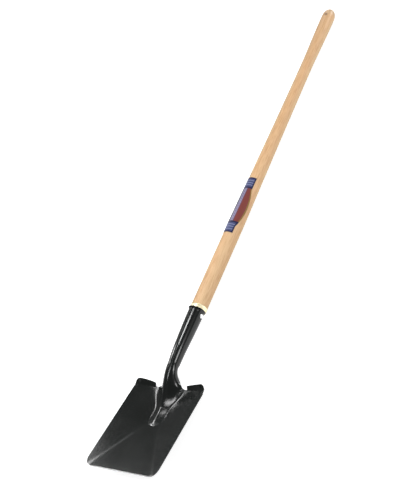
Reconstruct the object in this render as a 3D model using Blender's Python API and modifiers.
"""Long-handled square-point shovel, at rest on its back with the hollow of the blade facing up.

Metres, +Z up. The pieces are first laid out along the handle: x across, y from front to back,
and down the blade w = -z from the mouth of the socket. rest_pose() then lays them on the ground.
"""

import math

import bmesh
import bpy
from mathutils import Matrix, Vector

MM = 0.001

# Clearances between neighbouring pieces, mm
GAP = 0.3
LABEL_GAP = 0.2
CHUCK_GAP = 0.45

# Sheet of the blade and its socket
SHEET = 1.8
SEAM_GAP = 1.2

# Socket, rolled from the sheet, with its seam at the back
MOUTH_RADIUS = 20.6
NECK_RADIUS = 15.1
NECK_AT = 150.0
SOCKET_CURVE = 1.5
MOUTH_AT = -3.5
NECK_OPENING = 1.38
NECK_SETBACK = 3.8
MOUTH_FLARE = 2.6
MOUTH_FLARE_LENGTH = 7.5
SOCKET_LEAN = 2.5
LEAN_FADE_START = 100.0
LEAN_FADE_END = 172.0

# Blade outline
NOTCH_AT = 203.5
NOTCH_INNER = 43.5
NOTCH_OUTER = 53.2
NOTCH_FILLET = 5.0
BLADE_TOP_AT = 185.0
BLADE_END_AT = 449.2
TOP_HALF_WIDTH = 117.0
END_HALF_WIDTH = 120.6
STEP_FOOT_AT = 215.0
TOP_CORNER = 20.0
END_CORNER = 23.5

# Side edges and centre line of the blade, as depth behind the handle's axis
SIDE_TOP_Y = 19.6
SIDE_END_Y = -26.3
HEEL_Y = 26.5
FACE_END_Y = -24.2
FACE_BEND_START = 250.0
FACE_BEND_END = 305.0
PANEL_RISE = 0.197
PANEL_DISH = 3.0

# Creases: round the foot of the frog, and from its tip to the lower corners
FROG_TIP_AT = 311.0
FROG_NOSE = 20.0
FROG_FOOT_TIP = 23.0
FROG_FOOT_SPREAD = 0.68
FROG_FOOT_BEND_AT = 255.0
FROG_FOOT_BEND = 12.0
FROG_TOP_POWER = 5.0
FROG_SHARPENING = 40.0
FROG_RIDGE_ROUND = 0.12
CREASE_TIP_ROUND = 4.0
CREASE_SOFTNESS = 9.0

# Ridge of the frog
RIDGE_BEND_AT = 125.0
RIDGE_MERGE_AT = 262.0
RIDGE_DELAY = 1.6
RIDGE_HEIGHT = 7.5

# Foot steps, turned forward
STEP_INNER_Y = 18.2
STEP_OUTER_Y = 7.0
STEP_TURN_POWER = 3.5
STEP_CURL_X = 108.0
STEP_CREST_AT = 190.6
STEP_CREST_X = 94.0
STEP_INNER_DROP = 6.6
STEP_FOLD_AT = 206.0
STEP_FOLD_ROUND = 0.07
STEP_END_AT = 204.0

# Handle
HANDLE_LENGTH = 1031.2
HANDLE_RADIUS = 21.5
WAIST_RADIUS = 16.3
SWELL_RADIUS = 18.9
TAPER_START = 268.0
TAPER_END = 812.0
TAPER_POWER = 1.45
SWELL_AT = 984.0
DOME_LENGTH = 30.0
CHUCK_LENGTH = 142.0
CHUCK_CHAMFER = 3.0

# Ferrule round the wood above the mouth
FERRULE_HEIGHT = 10.5
FERRULE_RADIUS = 22.0
FERRULE_WALL = 0.9
FERRULE_EDGE = 0.4

# Rivet through socket and handle
RIVET_AT = 12.5
RIVET_RADIUS = 3.0
RIVET_HEAD_RADIUS = 5.6
RIVET_HEAD_HEIGHT = 2.4

# Label
LABEL_START = 231.0
LABEL_END = 408.0
LABEL_HALF_WIDTH = 17.5
LABEL_BULGE = 10.5
LABEL_BULGE_AT = 309.0
LABEL_BULGE_LENGTH = 116.0
LABEL_THICKNESS = 0.35

# Mesh density
AROUND = 48
SOCKET_COLUMNS = 14
NOTCH_COLUMNS = 2
STEP_COLUMNS = 7
CORNER_COLUMNS = 5
BLADE_ROWS = 19
BLADE_ROW_POWER = 1.25
STEP_ROWS = (0.0, 0.13, 0.26, 0.38, 0.5, 0.62, 1.0)


def clear_scene():
    for obj in list(bpy.data.objects):
        bpy.data.objects.remove(obj, do_unlink=True)


def new_collection(name, hidden=False):
    collection = bpy.data.collections.new(name)
    bpy.context.scene.collection.children.link(collection)
    collection.hide_render = hidden
    return collection


def material(name, colour, metallic, roughness):
    made = bpy.data.materials.new(name)
    made.use_nodes = True
    shader = made.node_tree.nodes["Principled BSDF"]
    shader.inputs["Base Color"].default_value = (*colour, 1.0)
    shader.inputs["Metallic"].default_value = metallic
    shader.inputs["Roughness"].default_value = roughness
    return made


def mesh_object(name, collection, points, faces, finish):
    mesh = bpy.data.meshes.new(name)
    mesh.from_pydata([Vector(p) * MM for p in points], [], faces)
    mesh.validate()
    obj = bpy.data.objects.new(name, mesh)
    if finish:
        mesh.materials.append(finish)
    collection.objects.link(obj)
    return obj


def turned(name, collection, profile, finish, steps=AROUND):
    """A body turned round Z. The profile runs from its top to its bottom, as (radius, z) in mm."""
    obj = mesh_object(name, collection, [(r, 0.0, z) for r, z in profile], [], finish)
    edges = [(i, i + 1) for i in range(len(profile) - 1)]
    obj.data.clear_geometry()
    obj.data.from_pydata([Vector((r, 0.0, z)) * MM for r, z in profile], edges, [])
    screw = obj.modifiers.new("Turned", "SCREW")
    screw.steps = steps
    screw.render_steps = steps
    screw.use_merge_vertices = True
    screw.merge_threshold = 0.00001
    screw.use_smooth_shade = True
    return obj


def subtract(obj, cutter):
    cut = obj.modifiers.new("Cut " + cutter.name, "BOOLEAN")
    cut.operation = "DIFFERENCE"
    cut.solver = "EXACT"
    cut.object = cutter


def mix(a, b, share):
    return a + (b - a) * share


def clamp(value):
    return min(max(value, 0.0), 1.0)


def smooth(value):
    value = clamp(value)
    return value * value * (3.0 - 2.0 * value)


def soft_ramp(value, softness):
    """Zero below 0 and equal to value above it, with a rounded corner."""
    return 0.5 * (value + math.sqrt(value * value + softness * softness))


def tube_radius(w):
    """Outer radius of the socket without its flare."""
    share = clamp(w / NECK_AT)
    return MOUTH_RADIUS - (MOUTH_RADIUS - NECK_RADIUS) * share**SOCKET_CURVE


def socket_radius(w):
    """Outer radius of the socket, with its flared mouth."""
    return tube_radius(w) + MOUTH_FLARE * smooth(1.0 - (w - MOUTH_AT) / MOUTH_FLARE_LENGTH)


def socket_lean(w):
    """How far the socket stands forward of the handle's axis."""
    return SOCKET_LEAN * smooth((LEAN_FADE_END - w) / (LEAN_FADE_END - LEAN_FADE_START))


def side_y(w):
    share = (w - BLADE_TOP_AT) / (BLADE_END_AT - BLADE_TOP_AT)
    return mix(SIDE_TOP_Y, SIDE_END_Y, share)


def half_width(w):
    share = (w - BLADE_TOP_AT) / (BLADE_END_AT - BLADE_TOP_AT)
    return mix(TOP_HALF_WIDTH, END_HALF_WIDTH, share)


def face_y(w):
    """Centre line of the face, without the frog: level at the heel, bent up, then straight."""
    bend = FACE_BEND_END - FACE_BEND_START
    share = clamp((w - FACE_BEND_START) / bend)
    run = 0.5 * bend * share**2 + max(w - FACE_BEND_END, 0.0)
    slope = (HEEL_Y - FACE_END_Y) / (0.5 * bend + BLADE_END_AT - FACE_BEND_END)
    return HEEL_Y - slope * run


def nose(w):
    """Share of the frog's full section left at w, falling to 0 round its tip."""
    start = FROG_TIP_AT - FROG_NOSE
    return math.sqrt(1.0 - clamp((w - start) / FROG_NOSE) ** 2)


def ridge_y(w):
    """Front of the socket and, below it, the ridge of the frog."""
    share = clamp((w - RIDGE_BEND_AT) / (RIDGE_MERGE_AT - RIDGE_BEND_AT))
    lower = mix(RIDGE_HEIGHT, 0.5 * RIDGE_HEIGHT, clamp((w - RIDGE_MERGE_AT) / 40.0)) * nose(w) ** 2
    front = -socket_radius(w) - socket_lean(w)
    return mix(front, face_y(w) - lower, smooth(share**RIDGE_DELAY))


def frog_foot(w):
    """Distance from the centre to the crease at the foot of the frog."""
    spread = FROG_FOOT_SPREAD * soft_ramp(FROG_FOOT_BEND_AT - w, FROG_FOOT_BEND)
    return (FROG_FOOT_TIP + spread) * max(nose(w), 0.05)


def flat_half(w):
    """Half-width of the middle of the face: the frog's foot, then where the side panels meet the face."""
    foot = frog_foot(w)
    below = max(w, FACE_BEND_END - FROG_NOSE)
    meeting = half_width(below) - (face_y(below) - side_y(below)) / PANEL_RISE
    return foot + soft_ramp(meeting - foot, CREASE_TIP_ROUND)


def frog_shape(u, w):
    """Height of the frog across its width, 1 at the ridge and 0 at the foot."""
    u = min(abs(u), 1.0)
    down = smooth((w - NOTCH_AT) / FROG_SHARPENING)
    round_top = (1.0 - u * u) ** FROG_TOP_POWER
    top = FROG_RIDGE_ROUND
    straight = 1.0 - (math.hypot(u, top) - top) / (math.hypot(1.0, top) - top)
    flank = max(soft_ramp(straight - 0.1, 0.06) - soft_ramp(-0.1, 0.06), 0.0)
    return mix(round_top, flank / 0.9, down)


def blade_y(x, w):
    """Front face of the blade."""
    side = half_width(w)
    flat = min(flat_half(w), side - 4.0)
    middle = face_y(w)
    inward = 1.0 - soft_ramp(abs(x) - flat, CREASE_SOFTNESS) / soft_ramp(side - flat, CREASE_SOFTNESS)
    lift = PANEL_RISE * (side - flat)
    dish = middle - side_y(w) - lift
    plain = side_y(w) + lift * inward + dish * max(inward, 0.0) ** PANEL_DISH
    height = middle - ridge_y(w)
    return plain - height * frog_shape(x / frog_foot(w), w)


def arch(w, reach, count):
    """Points spaced evenly along the frog's section, from the ridge out to x = reach."""
    fine = 240
    xs = [reach * i / fine for i in range(fine + 1)]
    ys = [blade_y(x, w) for x in xs]
    run = [0.0]
    for i in range(fine):
        run.append(run[-1] + math.hypot(xs[i + 1] - xs[i], ys[i + 1] - ys[i]))
    points = []
    at = 0
    for k in range(count + 1):
        target = run[-1] * k / count
        while at < fine - 1 and run[at + 1] < target:
            at += 1
        share = (target - run[at]) / (run[at + 1] - run[at])
        points.append((mix(xs[at], xs[at + 1], share), mix(ys[at], ys[at + 1], share)))
    return points


def notch_reach(w):
    start = NOTCH_AT - NOTCH_FILLET
    inner = NOTCH_INNER - NOTCH_FILLET
    if w <= start:
        return inner
    drop = min(w - start, NOTCH_FILLET)
    return inner + NOTCH_FILLET - math.sqrt(NOTCH_FILLET**2 - drop**2)


def socket_section(w):
    """Right half of the section, from the front out to the free edge, as (x, y) in mm."""
    radius = socket_radius(w)
    widest = math.pi - 0.5 * SEAM_GAP / radius
    tube = []
    for i in range(SOCKET_COLUMNS + 1):
        angle = widest * i / SOCKET_COLUMNS
        tube.append((radius * math.sin(angle), ridge_y(w) + radius * (1.0 - math.cos(angle))))
    if w <= NECK_AT:
        return tube
    share = (w - NECK_AT) / (NOTCH_AT - NECK_AT)
    out = share**NECK_OPENING
    back = 1.0 - (1.0 - share) ** NECK_SETBACK
    opened = arch(w, notch_reach(w), SOCKET_COLUMNS)
    return [(mix(a[0], b[0], out), mix(a[1], b[1], back)) for a, b in zip(tube, opened)]


def socket_rows():
    flare = [MOUTH_AT, -3.1, -2.0, 0.0, 2.0, 4.5, 9.0, 14.0, 20.0]
    tube = [mix(20.0, NECK_AT, i / 9.0) for i in range(1, 10)]
    spread_end = NOTCH_AT - NOTCH_FILLET
    spread = [mix(NECK_AT, spread_end, i / 9.0) for i in range(1, 10)]
    fillet = [spread_end + NOTCH_FILLET * math.sin(math.radians(a)) for a in (25.0, 50.0, 72.0)]
    return flare + tube + spread + fillet


def blade_columns():
    """x of each column from the centre outward, where the face is half_width(NOTCH_AT) wide."""
    columns = [x for x, y in arch(NOTCH_AT, NOTCH_INNER, SOCKET_COLUMNS)]
    for i in range(1, NOTCH_COLUMNS + 1):
        columns.append(mix(NOTCH_INNER, NOTCH_OUTER, i / NOTCH_COLUMNS))
    side = half_width(NOTCH_AT)
    for i in range(1, STEP_COLUMNS + 1):
        columns.append(mix(NOTCH_OUTER, side - END_CORNER, i / STEP_COLUMNS))
    for i in range(1, CORNER_COLUMNS + 1):
        angle = 0.5 * math.pi * i / CORNER_COLUMNS
        columns.append(side - END_CORNER * (1.0 - math.sin(angle)))
    return columns


def corner_drop(inset, radius):
    """How far a rounded corner falls back, at a distance inset from the side."""
    if inset >= radius:
        return 0.0
    return radius - math.sqrt(max(radius**2 - (radius - inset) ** 2, 0.0))


def fold_side(value):
    """Share of the way out from the fold: 0 at -1, 1 at 1, and rounded at 0."""
    low = soft_ramp(-1.0, STEP_FOLD_ROUND)
    return (soft_ramp(value, STEP_FOLD_ROUND) - low) / (soft_ramp(1.0, STEP_FOLD_ROUND) - low)


def step_point(x, share):
    """Point (y, w) on the foot step: share 0 is its free edge and share 1 is on the face."""
    side = half_width(NOTCH_AT)
    across = clamp((x - NOTCH_OUTER) / (STEP_CURL_X - NOTCH_OUTER))
    corner = corner_drop(side - x, TOP_CORNER) / TOP_CORNER
    from_crest = (x - STEP_CREST_X) / (STEP_CREST_X - NOTCH_OUTER)
    edge_w = mix(STEP_CREST_AT + STEP_INNER_DROP * from_crest**2, STEP_END_AT, corner)
    edge_y = mix(STEP_INNER_Y, STEP_OUTER_Y, across**STEP_TURN_POWER)
    edge_y = mix(edge_y, side_y(STEP_END_AT), corner)
    foot_y = blade_y(x, STEP_FOOT_AT)
    fold_w = mix(STEP_FOLD_AT, mix(edge_w, STEP_FOOT_AT, 0.5), corner)
    fold_y = mix(blade_y(x, STEP_FOLD_AT), mix(edge_y, foot_y, 0.5), corner)
    up = fold_side(1.0 - 2.0 * share)
    down = fold_side(2.0 * share - 1.0)
    y = fold_y + up * (edge_y - fold_y) + down * (foot_y - fold_y)
    return (y, fold_w + up * (edge_w - fold_w) + down * (STEP_FOOT_AT - fold_w))


def blade_surface():
    """Front face of the whole stamping, as points in mm and quads."""
    points = []
    faces = []

    def add(x, y, w):
        points.append((x, y, -w))
        return len(points) - 1

    def weave(upper, lower):
        for i in range(len(upper) - 1):
            if None not in (upper[i], upper[i + 1], lower[i], lower[i + 1]):
                faces.append((upper[i], lower[i], lower[i + 1], upper[i + 1]))

    columns = blade_columns()
    count = len(columns) - 1
    wing = SOCKET_COLUMNS + NOTCH_COLUMNS

    def mirrored(row):
        """Full row from a right half of (x, y, w) or None, with the centre point first."""
        left = [None if p is None else add(-p[0], p[1], p[2]) for p in row[:0:-1]]
        right = [None if p is None else add(*p) for p in row]
        return left + right

    rows = []
    for w in socket_rows():
        half = [(x, y, w) for x, y in socket_section(w)]
        rows.append(half + [None] * (count - SOCKET_COLUMNS))
    socket_count = len(rows)

    steps = []
    for share in STEP_ROWS:
        half = [None] * wing
        for x in columns[wing:]:
            y, w = step_point(x, share)
            half.append((x, y, w))
        steps.append(half)
    head = []
    for k, down in enumerate((0.0, 0.3, 0.6, 1.0)):
        w = mix(NOTCH_AT, STEP_FOOT_AT, down)
        half = [(x, blade_y(x, w), w) for x in columns[:wing]]
        head.append(half + steps[3 + k][wing:])
    body = []
    for k in range(1, BLADE_ROWS + 1):
        share = (k / BLADE_ROWS) ** BLADE_ROW_POWER
        half = []
        for x in columns:
            end = BLADE_END_AT - corner_drop(columns[-1] - x, END_CORNER)
            w = mix(STEP_FOOT_AT, end, share)
            wide = x * half_width(w) / half_width(NOTCH_AT)
            half.append((wide, blade_y(wide, w), w))
        body.append(half)

    made_socket = [mirrored(row) for row in rows]
    made_steps = [mirrored(row) for row in steps[:3]]
    made_blade = [mirrored(row) for row in head + body]
    for k in range(socket_count - 1):
        weave(made_socket[k], made_socket[k + 1])
    weave(made_socket[-1], made_blade[0])
    for k in range(2):
        weave(made_steps[k], made_steps[k + 1])
    weave(made_steps[2], made_blade[0])
    for k in range(len(made_blade) - 1):
        weave(made_blade[k], made_blade[k + 1])
    return points, faces


def make_blade(collection, finish, rivet_cutter):
    points, faces = blade_surface()
    obj = mesh_object("blade", collection, points, faces, finish)
    shell = bmesh.new()
    shell.from_mesh(obj.data)
    loose = [v for v in shell.verts if not v.link_faces]
    bmesh.ops.delete(shell, geom=loose, context="VERTS")
    shell.to_mesh(obj.data)
    shell.free()
    solid = obj.modifiers.new("Sheet", "SOLIDIFY")
    solid.thickness = SHEET * MM
    solid.offset = -1.0
    solid.use_even_offset = True
    solid.use_quality_normals = True
    subtract(obj, rivet_cutter)
    return obj


def wood_radius(z):
    """Radius of the handle above its chuck, without the dome."""
    if z <= TAPER_START:
        return HANDLE_RADIUS
    if z <= TAPER_END:
        share = (z - TAPER_START) / (TAPER_END - TAPER_START)
        return WAIST_RADIUS + (HANDLE_RADIUS - WAIST_RADIUS) * (1.0 - share) ** TAPER_POWER
    return mix(WAIST_RADIUS, SWELL_RADIUS, smooth((z - TAPER_END) / (SWELL_AT - TAPER_END)))


def make_handle(collection, finish, rivet_cutter):
    profile = []
    dome_base = HANDLE_LENGTH - DOME_LENGTH
    for i in range(9):
        angle = 0.5 * math.pi * i / 8.0
        profile.append((SWELL_RADIUS * math.sin(angle) ** 0.9, dome_base + DOME_LENGTH * math.cos(angle)))
    profile.append((SWELL_RADIUS, SWELL_AT))
    for i in range(1, 10):
        z = mix(SWELL_AT, TAPER_END, i / 9.0)
        profile.append((wood_radius(z), z))
    for i in range(1, 19):
        z = mix(TAPER_END, TAPER_START, i / 18.0)
        profile.append((wood_radius(z), z))
    under_ferrule = FERRULE_RADIUS - FERRULE_WALL - GAP
    ferrule_low = GAP - MOUTH_AT
    ferrule_top = ferrule_low + FERRULE_HEIGHT
    profile.append((HANDLE_RADIUS, ferrule_top + GAP))
    profile.append((under_ferrule, ferrule_top + GAP))
    profile.append((under_ferrule, ferrule_low + 2.0 * GAP))
    chuck_rows = [w for w in socket_rows() if w < CHUCK_LENGTH - CHUCK_CHAMFER]
    for w in chuck_rows + [CHUCK_LENGTH - CHUCK_CHAMFER]:
        profile.append((tube_radius(w) - SHEET - CHUCK_GAP, -w))
    profile.append((profile[-1][0] - CHUCK_CHAMFER, -CHUCK_LENGTH))
    profile.append((0.0, -CHUCK_LENGTH))
    obj = turned("handle", collection, profile, finish)
    graph = bpy.context.evaluated_depsgraph_get()
    solid = bpy.data.meshes.new_from_object(obj.evaluated_get(graph))
    obj.modifiers.clear()
    obj.data = solid
    for v in solid.vertices:
        if v.co.z < (ferrule_low - 0.1) * MM:
            v.co.y -= socket_lean(-v.co.z / MM) * MM
    subtract(obj, rivet_cutter)
    return obj


def make_ferrule(collection, finish):
    outer = FERRULE_RADIUS
    inner = outer - FERRULE_WALL
    low = GAP - MOUTH_AT
    high = low + FERRULE_HEIGHT
    edge = FERRULE_EDGE
    profile = [
        (inner, high),
        (outer - edge, high),
        (outer, high - edge),
        (outer, low + edge),
        (outer - edge, low),
        (inner, low),
        (inner, high),
    ]
    return turned("ferrule", collection, profile, finish)


def lay_across(obj):
    """Turns a body made round Z so that it lies along X at the rivet's height."""
    obj.matrix_world = Matrix.Translation((0.0, 0.0, -RIVET_AT * MM)) @ Matrix.Rotation(
        math.radians(90.0), 4, "Y"
    )


def make_rivet(collection, finish):
    seat = max(socket_radius(RIVET_AT + side * RIVET_HEAD_RADIUS) for side in (-1, 0, 1)) + GAP
    sweep = math.radians(80.0)
    rise = (RIVET_HEAD_HEIGHT - 0.5) / (1.0 - math.cos(sweep))
    upper = [(0.0, seat + RIVET_HEAD_HEIGHT)]
    for i in range(1, 6):
        angle = sweep * i / 5.0
        r = RIVET_HEAD_RADIUS * math.sin(angle) / math.sin(sweep)
        upper.append((r, seat + 0.5 + rise * (math.cos(angle) - math.cos(sweep))))
    upper.append((RIVET_HEAD_RADIUS, seat))
    upper.append((RIVET_RADIUS, seat))
    profile = upper + [(r, -z) for r, z in reversed(upper)]
    obj = turned("rivet", collection, profile, finish, steps=24)
    lay_across(obj)
    return obj


def make_rivet_cutter(collection):
    reach = socket_radius(RIVET_AT) + 6.0
    radius = RIVET_RADIUS + GAP
    profile = [(0.0, reach), (radius, reach), (radius, -reach), (0.0, -reach)]
    obj = turned("rivet_hole", collection, profile, None, steps=24)
    obj.display_type = "WIRE"
    obj.hide_render = True
    lay_across(obj)
    return obj


def label_half_width(z):
    across = (z - LABEL_BULGE_AT) / (0.5 * LABEL_BULGE_LENGTH)
    return LABEL_HALF_WIDTH + LABEL_BULGE * max(1.0 - across * across, 0.0)


def make_label(collection, finish):
    """Thin film wrapped on the front of the handle, wider along its middle."""
    columns = 16
    rows = 28
    points = []
    faces = []
    for layer in (LABEL_GAP, LABEL_GAP + LABEL_THICKNESS):
        for i in range(rows + 1):
            z = mix(LABEL_START, LABEL_END, i / rows)
            radius = wood_radius(z)
            reach = label_half_width(z) / radius
            for j in range(columns + 1):
                angle = mix(-reach, reach, j / columns)
                r = radius + layer
                points.append((r * math.sin(angle), -r * math.cos(angle), z))
    wide = columns + 1
    layer_count = wide * (rows + 1)

    def at(layer, i, j):
        return layer * layer_count + i * wide + j

    for i in range(rows):
        for j in range(columns):
            faces.append((at(1, i, j), at(1, i, j + 1), at(1, i + 1, j + 1), at(1, i + 1, j)))
            faces.append((at(0, i, j), at(0, i + 1, j), at(0, i + 1, j + 1), at(0, i, j + 1)))
    for j in range(columns):
        faces.append((at(0, 0, j), at(0, 0, j + 1), at(1, 0, j + 1), at(1, 0, j)))
        faces.append((at(0, rows, j), at(1, rows, j), at(1, rows, j + 1), at(0, rows, j + 1)))
    for i in range(rows):
        faces.append((at(0, i, 0), at(1, i, 0), at(1, i + 1, 0), at(0, i + 1, 0)))
        faces.append((at(0, i, columns), at(0, i + 1, columns), at(1, i + 1, columns), at(1, i, columns)))
    return mesh_object("label", collection, points, faces, finish)


def rest_matrix(blade, handle):
    """Lays the shovel on its back: face up, handle along +Y, on its two heels and the handle's end."""
    graph = bpy.context.evaluated_depsgraph_get()
    clouds = []
    for obj in (blade, handle):
        evaluated = obj.evaluated_get(graph)
        mesh = evaluated.to_mesh()
        clouds.append([Vector((v.co.x, v.co.z, -v.co.y)) for v in mesh.vertices])
        evaluated.to_mesh_clear()
    tilt = 0.0
    for _ in range(6):
        turn = Matrix.Rotation(tilt, 3, "X")
        low = [min((turn @ p for p in cloud), key=lambda p: p.z) for cloud in clouds]
        tilt -= math.atan2(low[1].z - low[0].z, low[1].y - low[0].y)
    turn = Matrix.Rotation(tilt, 3, "X")
    placed = [turn @ p for cloud in clouds for p in cloud]
    floor = min(p.z for p in placed)
    middle = 0.5 * (min(p.y for p in placed) + max(p.y for p in placed))
    face_up = Matrix(((1, 0, 0), (0, 0, 1), (0, -1, 0))).to_4x4()
    print("rest tilt deg", math.degrees(tilt), "shift mm", -middle / MM, -floor / MM)
    return Matrix.Translation((0.0, -middle, -floor)) @ turn.to_4x4() @ face_up


def main():
    clear_scene()
    shovel = new_collection("square_point_shovel")
    cutters = new_collection("cutters", hidden=True)
    enamel = material("Black enamel on steel", (0.012, 0.013, 0.013), 0.0, 0.3)
    ash = material("Ash wood", (0.72, 0.45, 0.22), 0.0, 0.5)
    brass = material("Brass plate", (0.75, 0.62, 0.25), 1.0, 0.35)
    zinc = material("Zinc plate", (0.75, 0.76, 0.77), 1.0, 0.3)
    film = material("Printed film", (0.62, 0.6, 0.72), 0.0, 0.35)

    rivet_cutter = make_rivet_cutter(cutters)
    blade = make_blade(shovel, enamel, rivet_cutter)
    handle = make_handle(shovel, ash, rivet_cutter)
    make_ferrule(shovel, brass)
    make_rivet(shovel, zinc)
    make_label(shovel, film)
    bpy.context.view_layer.update()
    rest = rest_matrix(blade, handle)
    for obj in list(shovel.objects) + list(cutters.objects):
        obj.matrix_world = rest @ obj.matrix_world


main()
